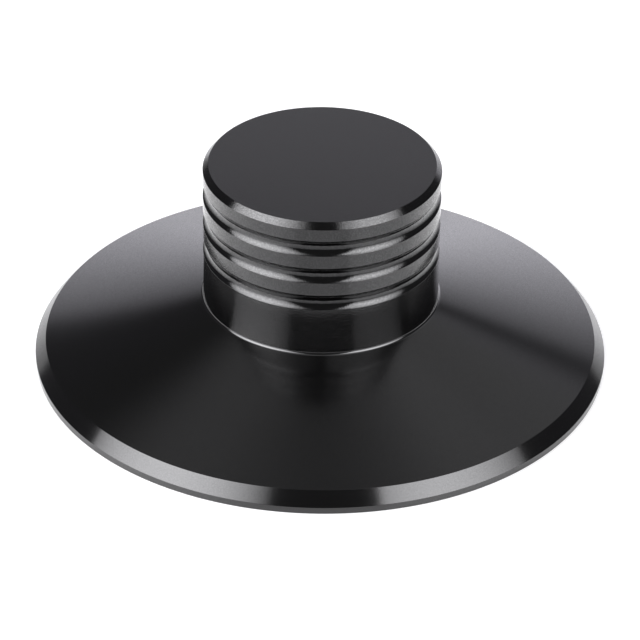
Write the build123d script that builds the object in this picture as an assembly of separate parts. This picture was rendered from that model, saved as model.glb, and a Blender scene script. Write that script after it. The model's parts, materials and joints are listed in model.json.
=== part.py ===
from build123d import *

import math
import os

# A record weight for a turntable: one piece of aluminium, turned about Z.
# The origin is the centre of the face that rests on the record, and Z points up.
# All sizes are in millimetres and all angles in degrees.

# Foot: a low disc with a bevelled rim and a shallow cone on top of it
FOOT_DIAMETER = 80.0
FOOT_EDGE_HEIGHT = 0.95
RIM_CHAMFER_WIDTH = 1.48
RIM_CHAMFER_HEIGHT = 1.85
CONE_RISE = 6.96

# Grip: an upright cylinder, plain at its foot and grooved above
GRIP_DIAMETER = 32.8
PLAIN_BAND_HEIGHT = 7.06
GROOVE_COUNT = 3
GROOVE_WIDTH = 2.30
GROOVE_DEPTH = 0.52
RIDGE_WIDTH = 1.95
TOP_RIDGE_WIDTH = 1.81
TOP_CHAMFER_WIDTH = 0.76
TOP_CHAMFER_HEIGHT = 0.83

# Corners: the tool's nose leaves a fillet in the neck, and a small flat breaks each crisp edge
NECK_FILLET = 0.45
EDGE_BREAK = 0.12

# Spindle bore: drilled from below, a running fit on the turntable's spindle
SPINDLE_DIAMETER = 7.2
SPINDLE_CLEARANCE = 0.1
BORE_DEPTH = 20.0
BORE_MOUTH_CHAMFER = 0.6
DRILL_POINT_ANGLE = 118.0

# Radii and heights that follow from the sizes above
FOOT_RADIUS = FOOT_DIAMETER / 2
CONE_RADIUS = FOOT_RADIUS - RIM_CHAMFER_WIDTH
GRIP_RADIUS = GRIP_DIAMETER / 2
TOP_RADIUS = GRIP_RADIUS - TOP_CHAMFER_WIDTH
BORE_RADIUS = SPINDLE_DIAMETER / 2 + SPINDLE_CLEARANCE
GROOVE_PITCH = GROOVE_WIDTH + RIDGE_WIDTH
CONE_Z = FOOT_EDGE_HEIGHT + RIM_CHAMFER_HEIGHT
NECK_Z = CONE_Z + CONE_RISE
LOWEST_GROOVE_Z = NECK_Z + PLAIN_BAND_HEIGHT
RIDGE_TOP_Z = LOWEST_GROOVE_Z + GROOVE_COUNT * GROOVE_PITCH - RIDGE_WIDTH + TOP_RIDGE_WIDTH
HEIGHT = RIDGE_TOP_Z + TOP_CHAMFER_HEIGHT


def blank_section():
    """Half section of the turned blank: foot, rim chamfer, cone, grip and top chamfer."""
    outline = Polyline(
        (0, 0),
        (FOOT_RADIUS, 0),
        (FOOT_RADIUS, FOOT_EDGE_HEIGHT),
        (CONE_RADIUS, CONE_Z),
        (GRIP_RADIUS, NECK_Z),
        (GRIP_RADIUS, RIDGE_TOP_Z),
        (TOP_RADIUS, HEIGHT),
        (0, HEIGHT),
        close=True,
    )
    return make_face(outline)


def groove_floors():
    """Lower edge of each finger groove, from the lowest one up."""
    return [LOWEST_GROOVE_Z + index * GROOVE_PITCH for index in range(GROOVE_COUNT)]


def groove_section(floor):
    """Round-nosed tool whose arc cuts a groove of the stated width and depth in the grip's wall."""
    nose_radius = (GROOVE_WIDTH**2 / 4 + GROOVE_DEPTH**2) / (2 * GROOVE_DEPTH)
    centre = (GRIP_RADIUS - GROOVE_DEPTH + nose_radius, floor + GROOVE_WIDTH / 2)
    return Pos(*centre) * Circle(nose_radius)


def bore_section():
    """Half section of the blind spindle bore, with a chamfered mouth and the drill's point."""
    point_length = BORE_RADIUS / math.tan(math.radians(DRILL_POINT_ANGLE / 2))
    outline = Polyline(
        (0, 0),
        (BORE_RADIUS + BORE_MOUTH_CHAMFER, 0),
        (BORE_RADIUS, BORE_MOUTH_CHAMFER),
        (BORE_RADIUS, BORE_DEPTH),
        (0, BORE_DEPTH + point_length),
        close=True,
    )
    return make_face(outline)


def crisp_corners():
    """Outer corners of the section, whose sharp edges are broken."""
    corners = [
        (FOOT_RADIUS, 0),
        (FOOT_RADIUS, FOOT_EDGE_HEIGHT),
        (CONE_RADIUS, CONE_Z),
        (GRIP_RADIUS, RIDGE_TOP_Z),
        (TOP_RADIUS, HEIGHT),
    ]
    for floor in groove_floors():
        corners.append((GRIP_RADIUS, floor))
        corners.append((GRIP_RADIUS, floor + GROOVE_WIDTH))
    return corners


def nearest_corner(section, point):
    """The section's vertex at a known point."""
    return section.vertices().sort_by_distance(point)[0]


def weight_body():
    """The finished weight: bore and grooves cut, corners eased, and the section turned about Z."""
    section = blank_section() - bore_section()
    for floor in groove_floors():
        section -= groove_section(floor)
    section = fillet(nearest_corner(section, (GRIP_RADIUS, NECK_Z)), NECK_FILLET)
    section = chamfer([nearest_corner(section, point) for point in crisp_corners()], EDGE_BREAK)
    return revolve(Plane.XZ * section, axis=Axis.Z)


os.makedirs("parts", exist_ok=True)
export_step(weight_body(), "parts/weight_body.step")
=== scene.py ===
# %% [markdown]
# # A turned record weight in black anodise
# This lesson dresses a record weight: one piece of aluminium, turned on a lathe and dyed black.
# The packed model gives the frame. It is loaded first, and nothing in it is moved or resized.
# Every length below is in metres, and Z = 0 is the face that rests on the record.

# %% Load the frame
import json
import math

import bpy
from mathutils import Matrix, Vector


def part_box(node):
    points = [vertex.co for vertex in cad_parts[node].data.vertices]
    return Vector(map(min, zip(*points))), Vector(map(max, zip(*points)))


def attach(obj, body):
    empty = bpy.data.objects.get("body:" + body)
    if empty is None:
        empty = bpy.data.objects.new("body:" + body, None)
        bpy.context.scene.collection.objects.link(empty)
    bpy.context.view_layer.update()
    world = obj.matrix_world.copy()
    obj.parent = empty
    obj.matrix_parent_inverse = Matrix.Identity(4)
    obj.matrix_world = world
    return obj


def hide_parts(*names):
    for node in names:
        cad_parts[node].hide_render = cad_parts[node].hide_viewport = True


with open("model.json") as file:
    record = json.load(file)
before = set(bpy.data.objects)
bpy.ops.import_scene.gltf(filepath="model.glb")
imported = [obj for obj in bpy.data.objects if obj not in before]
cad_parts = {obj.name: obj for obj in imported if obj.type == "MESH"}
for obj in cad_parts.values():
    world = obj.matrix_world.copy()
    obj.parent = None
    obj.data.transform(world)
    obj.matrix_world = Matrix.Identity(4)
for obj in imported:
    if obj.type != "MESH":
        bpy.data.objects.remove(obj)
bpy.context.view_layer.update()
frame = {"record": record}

# %% [markdown]
# ## Sizes
# The outer radius, the height and the bore come from the frame, so they can't drift from the solid.
# The smaller steps of the section are named here, in the order a lathe would cut them from the top down.

# %% Read the sizes of the weight
MM = 0.001
_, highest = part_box("weight_body")
FOOT_RADIUS = highest.x
HEIGHT = highest.z
mounts = {mount["name"]: mount for mount in frame["record"]["mounts"]}
BORE_RADIUS = mounts["spindle_bore"]["dims"]["r_mm"] * MM
BORE_WALL = mounts["spindle_bore"]["dims"]["length_mm"] * MM

GRIP_RADIUS = 16.40 * MM
TOP_CHAMFER = Vector((0.76, 0.83)) * MM
TOP_RIDGE = 1.81 * MM
GROOVE_COUNT = 3
GROOVE_WIDTH = 2.30 * MM
GROOVE_DEPTH = 0.52 * MM
RIDGE = 1.95 * MM
NECK_FILLET = 0.45 * MM
NECK_HEIGHT = 9.76 * MM
RIM_CHAMFER = Vector((1.48, 1.85)) * MM
FOOT_EDGE = 0.95 * MM
BORE_MOUTH = 0.60 * MM
DRILL_POINT = math.radians(118)
EDGE_ROUND = 0.06 * MM
print("weight", round(2 * FOOT_RADIUS / MM, 2), "mm across and", round(HEIGHT / MM, 2), "mm high")

# %% [markdown]
# ## The turned section
# A lathe part is its half section swept round an axis. The section could be a curve with a Screw modifier
# and a Bevel, but a polished edge is only as good as its normals, so the section is drawn here as short
# strips that carry their own exact normals. An arc is described by how its normal swings: a positive radius
# is an outside round, a negative one is a hollow.

# %% A pen that draws the half section
STEP = math.radians(7)
FEWEST_STEPS = 2


def facing(angle):
    """Unit normal in the section, as (outward, upward)."""
    return Vector((math.cos(angle), math.sin(angle)))


class Section:
    """A half section drawn from the top centre, down the outside and up the bore, as strips with normals."""

    def __init__(self, start):
        self.at = Vector(start)
        self.strips = []

    def strip(self, start_normal, end, end_normal):
        """One short step of the pen, with the normals at its two ends."""
        self.strips.append((self.at, start_normal, end, end_normal))
        self.at = end

    def line(self, *end):
        """A straight run, whose normal points to its left."""
        end = Vector(end)
        way = (end - self.at).normalized()
        normal = Vector((-way.y, way.x))
        self.strip(normal, end, normal)

    def arc(self, centre, radius, start, end):
        """A round run, whose normal swings from one angle to another."""
        steps = max(FEWEST_STEPS, math.ceil(abs(end - start) / STEP))
        for index in range(steps):
            before = facing(start + (end - start) * index / steps)
            after = facing(start + (end - start) * (index + 1) / steps)
            self.strip(before, Vector(centre) + radius * after, after)

    def corner(self, point, beyond, radius):
        """Runs to a corner and rounds it towards the next point."""
        point = Vector(point)
        way_in = (point - self.at).normalized()
        way_out = (Vector(beyond) - point).normalized()
        start = math.atan2(way_in.x, -way_in.y)
        turn = -way_in.angle_signed(way_out)
        hollow = -1 if turn > 0 else 1
        self.line(*(point - way_in * radius * math.tan(abs(turn) / 2)))
        self.arc(self.at - hollow * radius * facing(start), hollow * radius, start, start + turn)

    def groove(self, wall, middle, width, depth, lip):
        """A round-bottomed groove in an upright wall, with rounded lips."""
        nose = (width**2 / 4 + depth**2) / (2 * depth)
        centre = Vector((wall - depth + nose, middle))
        swing = math.acos((centre.x - wall + lip) / (nose + lip))
        rise = (nose + lip) * math.sin(swing)
        self.line(wall, middle + rise)
        self.arc((wall - lip, middle + rise), lip, 0, -swing)
        self.arc(centre, -nose, -swing, swing)
        self.arc((wall - lip, middle - rise), lip, swing, 0)


print("an arc's normal swings by up to", round(math.degrees(STEP)), "degrees a strip")

# %% [markdown]
# ## Drawing this weight
# From the top centre the pen runs out over the flat top, round the small top chamfer, down the grip past
# three finger grooves, through the fillet of the neck, down the shallow cone and round the bevelled rim.
# The hidden side is a flat face with the blind bore for the turntable's spindle, drilled with a plain point.

# %% Draw the section
section = Section((0, HEIGHT))
top_ridge = HEIGHT - TOP_CHAMFER.y
cone_foot = Vector((FOOT_RADIUS - RIM_CHAMFER.x, FOOT_EDGE + RIM_CHAMFER.y))
neck = Vector((GRIP_RADIUS, NECK_HEIGHT))

section.corner((GRIP_RADIUS - TOP_CHAMFER.x, HEIGHT), (GRIP_RADIUS, top_ridge), EDGE_ROUND)
section.corner((GRIP_RADIUS, top_ridge), neck, EDGE_ROUND)
for index in range(GROOVE_COUNT):
    middle = top_ridge - TOP_RIDGE - GROOVE_WIDTH / 2 - index * (GROOVE_WIDTH + RIDGE)
    section.groove(GRIP_RADIUS, middle, GROOVE_WIDTH, GROOVE_DEPTH, EDGE_ROUND)
section.corner(neck, cone_foot, NECK_FILLET)
section.corner(cone_foot, (FOOT_RADIUS, FOOT_EDGE), EDGE_ROUND)
section.corner((FOOT_RADIUS, FOOT_EDGE), (FOOT_RADIUS, 0), EDGE_ROUND)
section.corner((FOOT_RADIUS, 0), (0, 0), EDGE_ROUND)
section.line(BORE_RADIUS + BORE_MOUTH, 0)
section.line(BORE_RADIUS, BORE_MOUTH)
section.line(BORE_RADIUS, BORE_MOUTH + BORE_WALL)
section.line(0, BORE_MOUTH + BORE_WALL + BORE_RADIUS / math.tan(DRILL_POINT / 2))
print("section of", len(section.strips), "strips")

# %% [markdown]
# ## Sweeping it round
# Each strip becomes a ring of quads, or of triangles where it meets the axis. The strip's normals go to the
# corners of its faces as custom normals, so a flat stays flat right up to its rounded edge.

# %% Sweep the section into a mesh
AROUND = 256
ON_AXIS = 1e-9


def turned(pair, turn):
    """A point or a normal of the section, turned about Z."""
    return (pair.x * math.cos(turn), pair.x * math.sin(turn), pair.y)


def sweep(name, strips):
    """A closed mesh turned about Z from strips of a half section."""
    points = [strips[0][0]] + [strip[2] for strip in strips]
    turns = [2 * math.pi * index / AROUND for index in range(AROUND)]
    vertices = []
    rings = []
    for point in points:
        copies = 1 if point.x < ON_AXIS else AROUND
        rings.append([len(vertices) + index % copies for index in range(AROUND)])
        vertices += [turned(point, turn) for turn in turns[:copies]]
    faces = []
    normals = []
    for row, (_, start, _, end) in enumerate(strips):
        for index in range(AROUND):
            following = (index + 1) % AROUND
            corners = [
                (row, index, start),
                (row + 1, index, end),
                (row + 1, following, end),
                (row, following, start),
            ]
            face = {rings[level][place]: (place, normal) for level, place, normal in corners}
            faces.append(list(face))
            normals += [turned(normal, turns[place]) for place, normal in face.values()]
    mesh = bpy.data.meshes.new(name)
    mesh.from_pydata(vertices, [], faces)
    mesh.shade_smooth()
    mesh.normals_split_custom_set(normals)
    piece = bpy.data.objects.new(name, mesh)
    bpy.context.scene.collection.objects.link(piece)
    return piece


weight = sweep("turned_weight", section.strips)
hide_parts("weight_body")
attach(weight, "root")
print("mesh of", len(weight.data.polygons), "faces")

# %% [markdown]
# ## Shader maths as Python
# A finish is a formula over the surface. This small class wraps a socket, so that the formula can be written
# as an expression, and each operator adds its Math node. Any other node comes from one method.

# %% A socket that takes part in arithmetic


class Wire:
    """A socket of a node tree, or a starting point in the tree when it has no socket."""

    def __init__(self, tree, socket=None):
        self.tree = tree
        self.socket = socket

    def node(self, kind, settings=None, sockets=None, out=0):
        """Adds a node, sets its settings, feeds its sockets and returns one of its outputs."""
        made = self.tree.nodes.new(kind)
        for name, value in (settings or {}).items():
            setattr(made, name, value)
        for name, value in (sockets or {}).items():
            if isinstance(value, Wire):
                self.tree.links.new(value.socket, made.inputs[name])
            else:
                made.inputs[name].default_value = value
        return Wire(self.tree, made.outputs[out] if made.outputs else None)

    def math(self, operation, *values):
        """A Math node over wires and numbers."""
        return self.node("ShaderNodeMath", {"operation": operation}, dict(enumerate(values)))

    def __add__(self, other):
        return self.math("ADD", self, other)

    def __sub__(self, other):
        return self.math("SUBTRACT", self, other)

    def __rsub__(self, other):
        return self.math("SUBTRACT", other, self)

    def __mul__(self, other):
        return self.math("MULTIPLY", self, other)

    def __truediv__(self, other):
        return self.math("DIVIDE", self, other)

    def __pow__(self, other):
        return self.math("POWER", self, other)

    __radd__ = __add__
    __rmul__ = __mul__

    def at_least(self, other):
        """The larger of the two."""
        return self.math("MAXIMUM", self, other)

    def rise(self, low, high):
        """0 up to low, 1 from high on, and a smooth step between them."""
        ends = {"From Min": low, "From Max": high}
        return self.node("ShaderNodeMapRange", {"interpolation_type": "SMOOTHSTEP"}, {"Value": self, **ends})

    def between(self, low, high):
        """low where this is 0, high where it is 1, and a straight mix between them."""
        return low + (high - low) * self

    def along(self, direction, origin):
        """How far a place lies along a direction from an origin."""
        sockets = {0: self, 1: direction}
        reach = self.node("ShaderNodeVectorMath", {"operation": "DOT_PRODUCT"}, sockets, out="Value")
        return reach - origin.dot(direction)

    def grey(self, tone):
        """A neutral colour from one number."""
        return self.node("ShaderNodeCombineColor", None, {"Red": tone, "Green": tone, "Blue": tone})

    def colour(self, low, high):
        """A mix of two colours by this number. A Mix node has its colours at sockets 6, 7 and out 2."""
        return self.node("ShaderNodeMix", {"data_type": "RGBA"}, {"Factor": self, 6: low, 7: high}, out=2)

    def axes(self):
        """The X, Y and Z of a vector."""
        made = self.node("ShaderNodeSeparateXYZ", None, {"Vector": self}).socket.node
        return [Wire(self.tree, socket) for socket in made.outputs]


def empty_tree(owner):
    """The starting point in the emptied node tree of a material, a world or a lamp."""
    owner.use_nodes = True
    owner.node_tree.nodes.clear()
    return Wire(owner.node_tree)


print("a wire knows", ", ".join(name for name in vars(Wire) if not name.startswith("_")))

# %% [markdown]
# ## Marks on the metal
# Two things mark the metal before it is dyed. The lathe leaves fine rings, which depend only on the distance
# from the axis and on the height, so their noise is read there and not in space. Blasting then leaves a fine
# grain, full on the grip and faint on the foot. Marks this small would take millions of faces in a mesh, so
# both are bumps, and the grain lies on top of the rings.

# %% Mark the metal with rings and grain
RING_PITCH = 0.45 * MM
RING_HEIGHT = 0.0012 * MM
RING_DETAIL = 3.0
GRAIN = 0.18 * MM
GRAIN_HEIGHT = 0.009 * MM
GRAIN_DETAIL = 1.0
FOOT_GRAIN = 0.25
GRAIN_FADE = 1 * MM


def noise(place, size, detail):
    """Noise with features of about the given size."""
    sockets = {"Vector": place, "Scale": 1 / size, "Detail": detail}
    return place.node("ShaderNodeTexNoise", {"noise_dimensions": "3D"}, sockets)


anodise = bpy.data.materials.new("black_anodise")
metal = empty_tree(anodise)
place = metal.node("ShaderNodeTexCoord", out="Object")
x, y, z = place.axes()
radius = (x * x + y * y) ** 0.5
rings = noise(metal.node("ShaderNodeCombineXYZ", None, {"X": radius, "Y": z}), RING_PITCH, RING_DETAIL)
grain = noise(place, GRAIN, GRAIN_DETAIL)
blasted = z.rise(NECK_HEIGHT, NECK_HEIGHT + GRAIN_FADE).between(FOOT_GRAIN, 1)
ringed = metal.node("ShaderNodeBump", None, {"Distance": RING_HEIGHT, "Height": rings})
bumps = {"Distance": GRAIN_HEIGHT, "Height": blasted * grain, "Normal": ringed}
relief = metal.node("ShaderNodeBump", None, bumps)
print("relief of", len(anodise.node_tree.nodes), "nodes")

# %% [markdown]
# ## Dyed oxide
# Anodising grows a clear layer of oxide on the metal and dyes it black. It shines like a hard varnish: a
# clean, slightly satin mirror over almost no colour of its own, and the dye takes a little better in some
# patches than in others. The grain sparkles in the highlights, so the outer skin of the oxide is a clear coat
# of uneven strength. In the fillet of the neck the nose of the tool has burnished the metal, and there the
# skin is whole. The faces differ only in four values, so one function makes the shader for all of them.

# %% Make the dyed oxide
OXIDE_INDEX = 1.78
SKIN_INDEX = 1.52
SKIN_ROUGHNESS = 0.10
DYE_PATCH = 9 * MM
DYE_DETAIL = 3.0
DYE_DARK = (0.0006, 0.0006, 0.0006, 1)
DYE_LIGHT = (0.0016, 0.0015, 0.0016, 1)
UNEVEN = 0.03
NOISE_MIDDLE = 0.5
BURNISHED = (0.65 * NECK_FILLET, 0.85 * NECK_FILLET)
QUARTER_TURN = 0.25

patches = noise(place, DYE_PATCH, DYE_DETAIL)
dye = patches.colour(DYE_DARK, DYE_LIGHT)
uneven = UNEVEN * (rings - NOISE_MIDDLE) + UNEVEN * (patches - NOISE_MIDDLE)
from_neck = ((radius - GRIP_RADIUS) ** 2 + (z - NECK_HEIGHT) ** 2) ** 0.5
burnish = 1 - from_neck.rise(*BURNISHED)


def oxide(roughness, stretch, skin, sparkle):
    """Dyed oxide: a mirror that may be stretched across the turning, under a skin that may sparkle."""
    sockets = {
        "Base Color": dye,
        "Roughness": roughness + uneven,
        "IOR": OXIDE_INDEX,
        "Anisotropic": stretch,
        "Anisotropic Rotation": QUARTER_TURN,
        "Coat Weight": skin + sparkle * (grain - NOISE_MIDDLE) + burnish,
        "Coat IOR": SKIN_INDEX,
        "Coat Roughness": SKIN_ROUGHNESS,
        "Normal": relief,
    }
    return metal.node("ShaderNodeBsdfPrincipled", None, sockets)


print("oxide with an index of", OXIDE_INDEX, "under a skin of", SKIN_INDEX)

# %% [markdown]
# ## Steep and wide faces
# The steep faces, on the grip and the rim, keep an even mirror. On the wide faces, the cone and the top, the
# rings lie close enough to blur a reflection across the turning but not along it, so there the mirror is
# stretched. The default tangent of an object runs round its Z axis, just as the tool did. Seen edge-on, a
# finely marked face turns from a mirror to a soft sheen, so Layer Weight mixes in a plain satin there, sooner
# on the top than on the cone. The upward part of the normal tells the wide faces from the steep ones.

# %% Finish the steep and the wide faces
SKIN = 0.30
SMOOTH_ROUGHNESS = 0.125
BLASTED_ROUGHNESS = 0.085
STEEP_SPARKLE = 3.3
WIDE_ROUGHNESS = 0.140
WIDE_STRETCH = 0.78
WIDE_SPARKLE = 1.1
SATIN_ROUGHNESS = 0.45
TOP_FACE = (HEIGHT - 0.2 * MM, HEIGHT - 0.1 * MM)
CONE_EDGE_ON = (0.73, 0.85)
TOP_EDGE_ON = (0.54, 0.70)
UPWARD = (0.85, 0.90)

steep = oxide(blasted.between(SMOOTH_ROUGHNESS, BLASTED_ROUGHNESS), 0.0, SKIN, STEEP_SPARKLE * blasted)
mirror = oxide(WIDE_ROUGHNESS, WIDE_STRETCH, SKIN, WIDE_SPARKLE)
satin = oxide(SATIN_ROUGHNESS, 0.0, 0.0, 0.0)
on_top = z.rise(*TOP_FACE)
edge_on = metal.node("ShaderNodeLayerWeight", out="Facing")
sheen_start = on_top.between(CONE_EDGE_ON[0], TOP_EDGE_ON[0])
sheen_end = on_top.between(CONE_EDGE_ON[1], TOP_EDGE_ON[1])
sheen = edge_on.rise(sheen_start, sheen_end)
wide = metal.node("ShaderNodeMixShader", None, {0: sheen, 1: mirror, 2: satin})
upward = metal.node("ShaderNodeNewGeometry", out="Normal").axes()[2]
finish = metal.node("ShaderNodeMixShader", None, {0: upward.rise(*UPWARD), 1: steep, 2: wide})
metal.node("ShaderNodeOutputMaterial", None, {"Surface": finish})
weight.data.materials.append(anodise)
print("black anodise of", len(anodise.node_tree.nodes), "nodes")

# %% [markdown]
# ## Floor
# The weight stands on a white sheet with a clear, polished face, like a light table: the white takes the
# shadow, and the face mirrors the foot. The sheet's colour carries painted shade in front of the weight and
# is lighter behind it. Close to the rim the lighter part starts further forward, as painted light, and the
# bevelled rim shows that change. A bright sheet is overexposed in a picture. Here that is a glow which only
# the camera and mirror rays see, so it doesn't light the weight. To mirror rays it is painted light, brighter
# behind the weight, with painted shade behind the rim, where the weight's own shade falls, and at the back of
# the sheet. Far out the camera sees plain white.

# %% Lay the floor
FLOOR_HALF = 3.0
FLOOR_LEVEL = -0.02 * MM
# painted shade and painted light: the sheet's colour is darker in front of the weight than behind it; these
# set the two tones and where they change
SHEET_FRONT_PAINTED_SHADE = 0.61
SHEET_BACK = 0.93
PAINTED_LIGHT_RISE = (-40 * MM, 20 * MM)
SHEET_INDEX = 1.5
SHEET_POLISH = 0.12
SEEN_GLOW = 0.50
FAR_OUT = (140 * MM, 300 * MM)
# painted light that only mirror rays see, brighter behind the weight
PAINTED_MIRROR_GLOW = 0.66
RIM_RING = (41 * MM, 46 * MM)
# painted light close to the rim: there the lighter part starts further forward, in place of the contact shade
RIM_PAINTED_LIGHT_LEAD = 18 * MM
RIM_SHADE = 0.78
RIM_SHADE_RUN = (0.0, 20 * MM)
BACK_SHADE = 0.60
BACK_SHADE_RUN = (30 * MM, 80 * MM)


def pale_sheet_painted_light():
    """White under a clear face, with painted shade in front of the weight and painted light behind it,
    overexposed to the camera and to mirrors.
    """
    material = bpy.data.materials.new("pale_sheet_painted_light")
    start = empty_tree(material)
    x, y, _ = start.node("ShaderNodeTexCoord", out="Object").axes()
    radius = (x * x + y * y) ** 0.5
    by_rim = 1 - radius.rise(*RIM_RING)
    # painted light behind the weight and painted shade in front, with the change starting sooner close to the
    # rim
    back = (y + RIM_PAINTED_LIGHT_LEAD * by_rim).rise(*PAINTED_LIGHT_RISE)
    seen = start.node("ShaderNodeLightPath", out="Is Camera Ray")
    mirrored = start.node("ShaderNodeLightPath", out="Is Glossy Ray")
    far = radius.rise(*FAR_OUT) * seen
    # painted shade in what mirrors see: less glow behind the rim and at the back of the sheet
    shade = BACK_SHADE * y.rise(*BACK_SHADE_RUN) + RIM_SHADE * by_rim * y.rise(*RIM_SHADE_RUN)
    # the camera sees an even white glow, while mirrors see the painted light less the painted shade
    glow = SEEN_GLOW * seen + (1 - SEEN_GLOW) * far + PAINTED_MIRROR_GLOW * (back - shade) * mirrored
    sockets = {
        # the sheet's colour with its painted shade in front and painted light behind
        "Base Color": start.grey(back.between(SHEET_FRONT_PAINTED_SHADE, SHEET_BACK)),
        "Roughness": 1.0,
        "Specular IOR Level": 0.0,
        "Coat Weight": 1 - far,
        "Coat IOR": SHEET_INDEX,
        "Coat Roughness": SHEET_POLISH,
        "Emission Color": start.grey(glow),
        "Emission Strength": 1.0,
    }
    surface = start.node("ShaderNodeBsdfPrincipled", None, sockets)
    start.node("ShaderNodeOutputMaterial", None, {"Surface": surface})
    return material


def lay_floor():
    """A square sheet under the weight."""
    mesh = bpy.data.meshes.new("floor")
    signs = [(-1, -1), (1, -1), (1, 1), (-1, 1)]
    corners = [(FLOOR_HALF * x, FLOOR_HALF * y, FLOOR_LEVEL) for x, y in signs]
    mesh.from_pydata(corners, [], [(0, 1, 2, 3)])
    mesh.materials.append(pale_sheet_painted_light())
    floor = bpy.data.objects.new("floor", mesh)
    bpy.context.scene.collection.objects.link(floor)
    return floor


print("floor", round(lay_floor().dimensions.x, 2), "m wide")

# %% [markdown]
# ## Room
# The room is dim, with a pale, slightly blue screen low down behind the weight. The screen fades towards its
# top and ends softly at its sides, and this fade is what the cone and the flat top show. Two faint corners
# and a ceiling fill in above it. All of it is painted on the world by direction, where a card model of a
# studio would need many faces for the same soft edges. A range below is where a soft edge starts and ends.

# %% Paint the room on the world
DAYLIGHT = (0.992, 0.988, 1.016, 1)
ROOM = 0.067
SCREEN_TINT = (1.003, 0.990, 1.074, 1)
SCREEN_TINT_TOP = (0.55, 0.68)
SCREEN_FOOT = 1.28
SCREEN_FADE = 1.58
SCREEN_SLANT = 0.48
SCREEN_FRONT = (0.0, 0.1)
SCREEN_LEFT = (-0.455, -0.395)
SCREEN_RIGHT = (0.267, 1.067)
SCREEN_TOP = (0.555, 0.715)
LEAST_DEPTH = 0.001
RIGHT_CORNER = 0.286
RIGHT_CORNER_EDGES = [(0.0, 0.25), (0.25, 0.5), (0.5, 0.6)]
LEFT_CORNER = 0.138
LEFT_CORNER_EDGES = [(0.0, 0.2), (0.25, 0.45), (0.7, 0.85)]
CEILING = 0.095
CEILING_EDGES = [(-0.3, 0.2), (0.75, 0.9)]


def patch(glow, axes, edges):
    """A patch of light that rises from nothing to its glow along each axis."""
    for axis, edge in zip(axes, edges):
        glow = glow * axis.rise(*edge)
    return glow


def room():
    """Light that comes from the room, by direction: x to the right, y to the back, z up."""
    world = bpy.data.worlds.new("room")
    start = empty_tree(world)
    x, y, z = start.node("ShaderNodeTexCoord", out="Generated").axes()
    depth = y.at_least(LEAST_DEPTH)
    side = x / depth
    height = z / depth
    behind = y.rise(*SCREEN_FRONT)
    ends = side.rise(*SCREEN_LEFT) * (1 - side.rise(*SCREEN_RIGHT))
    fade = (SCREEN_FOOT - SCREEN_FADE * height) * (1 - height.rise(*SCREEN_TOP))
    screen = (behind * ends * fade * (1 + SCREEN_SLANT * side)).at_least(0.0)
    right = patch(RIGHT_CORNER, (x, y, z), RIGHT_CORNER_EDGES)
    left = patch(LEFT_CORNER, (-1 * x, y, z), LEFT_CORNER_EDGES)
    ceiling = patch(CEILING, (y, z), CEILING_EDGES)
    glow = screen + right + left + ceiling + ROOM
    seen = start.node("ShaderNodeLightPath", out="Is Camera Ray")
    colour = (behind * (1 - z.rise(*SCREEN_TINT_TOP))).colour(DAYLIGHT, SCREEN_TINT)
    light = start.node("ShaderNodeBackground", None, {"Color": colour, "Strength": glow.at_least(seen)})
    start.node("ShaderNodeOutputWorld", None, {"Surface": light})
    return world


bpy.context.scene.world = room()
print("room of", len(bpy.context.scene.world.node_tree.nodes), "nodes")

# %% [markdown]
# ## Two soft boxes
# Two soft boxes stand left and right in front of the weight and lean over it, and the gap between them stays
# dark. Their straight edges are what the chamfers and grooves show as bars of light. A soft box is brightest
# where its bulb is, and falls off to its edges, so each panel has a hot middle.

# %% Hang the soft boxes


def bearing(degrees, distance):
    """A point on the floor, by its bearing from the camera's side, where + is to the right."""
    angle = math.radians(degrees)
    return Vector((math.sin(angle), -math.cos(angle), 0)) * distance


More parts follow.
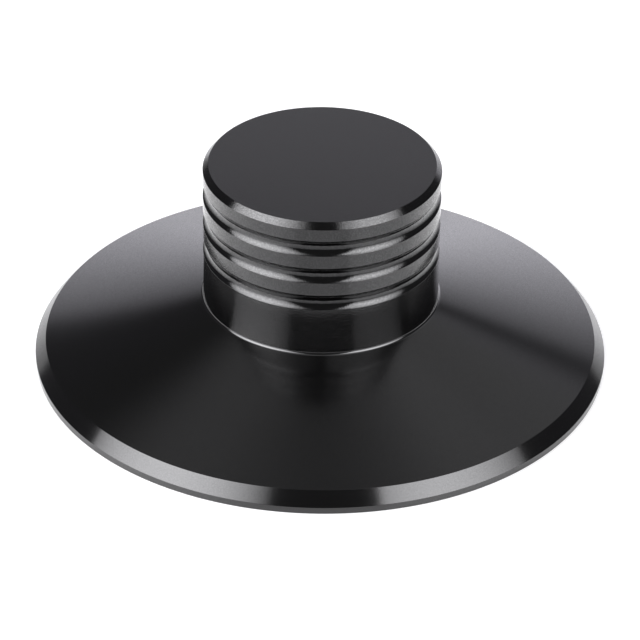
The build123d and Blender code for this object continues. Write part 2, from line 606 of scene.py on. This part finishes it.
def soft_box(name, inner, outer, distance, top, lean, glow, heat):
    """A panel whose foot runs between two bearings on the floor and whose top leans inwards.

    The glow is given at the inner edge, the middle and the outer edge, and a parabola runs through the three.
    The heat is the height of the hot middle and its reach, both as a share of the panel, and the share of
    light that is left outside it. The energy is set so that a strength of 1 is the light of a white screen.
    """
    start = bearing(inner, distance)
    end = bearing(outer, distance)
    across = end - start
    foot = (start + end) / 2
    inward = -foot.normalized()
    up = Vector((0, 0, top)) + lean * inward
    lamp = bpy.data.lights.new(name, "AREA")
    lamp.shape = "RECTANGLE"
    lamp.size = across.length
    lamp.size_y = up.length
    lamp.energy = math.pi * lamp.size * lamp.size_y
    panel = empty_tree(lamp)
    place = panel.node("ShaderNodeNewGeometry", out="Position")
    u = place.along(across / across.length_squared, start)
    v = place.along(up / up.length_squared, start)
    at_inner, at_middle, at_outer = glow
    spread = at_inner * (1 - u) * (1 - 2 * u) + 4 * at_middle * u * (1 - u) + at_outer * u * (2 * u - 1)
    middle, reach, rest = heat
    hot = (1 - ((v - middle) / reach) ** 2).at_least(0.0).between(rest, 1)
    light = panel.node("ShaderNodeEmission", None, {"Color": DAYLIGHT, "Strength": spread * hot})
    panel.node("ShaderNodeOutputLight", None, {"Surface": light})
    box = bpy.data.objects.new(name, lamp)
    box.location = foot + up / 2
    box.rotation_euler = (top * inward - Vector((0, 0, lean))).to_track_quat("-Z", "Y").to_euler()
    box.visible_camera = False
    bpy.context.scene.collection.objects.link(box)


soft_box(
    "left_box",
    inner=-27.83,
    outer=-86.97,
    distance=0.415,
    top=0.848,
    lean=0.331,
    glow=(0.61, 5.41, 1.77),
    heat=(0.224, 0.259, 0.063),
)
soft_box(
    "right_box",
    inner=30.67,
    outer=77.57,
    distance=0.347,
    top=0.596,
    lean=0.230,
    glow=(2.82, 4.48, 0.77),
    heat=(0.297, 0.264, 0.124),
)

# %% [markdown]
# ## The camera
# A long lens looks down on the weight from half a metre away, a little off level. It could be aimed with a
# Track To constraint, but that keeps the horizon level, so its place is worked out from the angles.

# %% Place the camera
VIEW_HEIGHT = math.radians(32.600)
VIEW_ROLL = math.radians(0.746)
VIEW_DISTANCE = 0.5211
VIEW_CENTRE = Vector((-0.06, 0, 4.80)) * MM
LENS = 208.85
SENSOR = 36


def place_camera():
    """The camera that takes the picture."""
    data = bpy.data.cameras.new("camera")
    data.lens = LENS
    data.sensor_width = SENSOR
    back = Vector((0, -math.cos(VIEW_HEIGHT), math.sin(VIEW_HEIGHT)))
    camera = bpy.data.objects.new("camera", data)
    stand = Matrix.Translation(VIEW_CENTRE + back * VIEW_DISTANCE)
    tilt = Matrix.Rotation(math.pi / 2 - VIEW_HEIGHT, 4, "X")
    camera.matrix_world = stand @ tilt @ Matrix.Rotation(VIEW_ROLL, 4, "Z")
    bpy.context.scene.collection.objects.link(camera)
    bpy.context.scene.camera = camera
    return camera


print("camera at", tuple(place_camera().location))

# %% [markdown]
# ## The view
# The plain view shows a colour as it is written, where a filmic one would soften the blacks.

# %% Set the view
bpy.context.scene.view_settings.view_transform = "Standard"
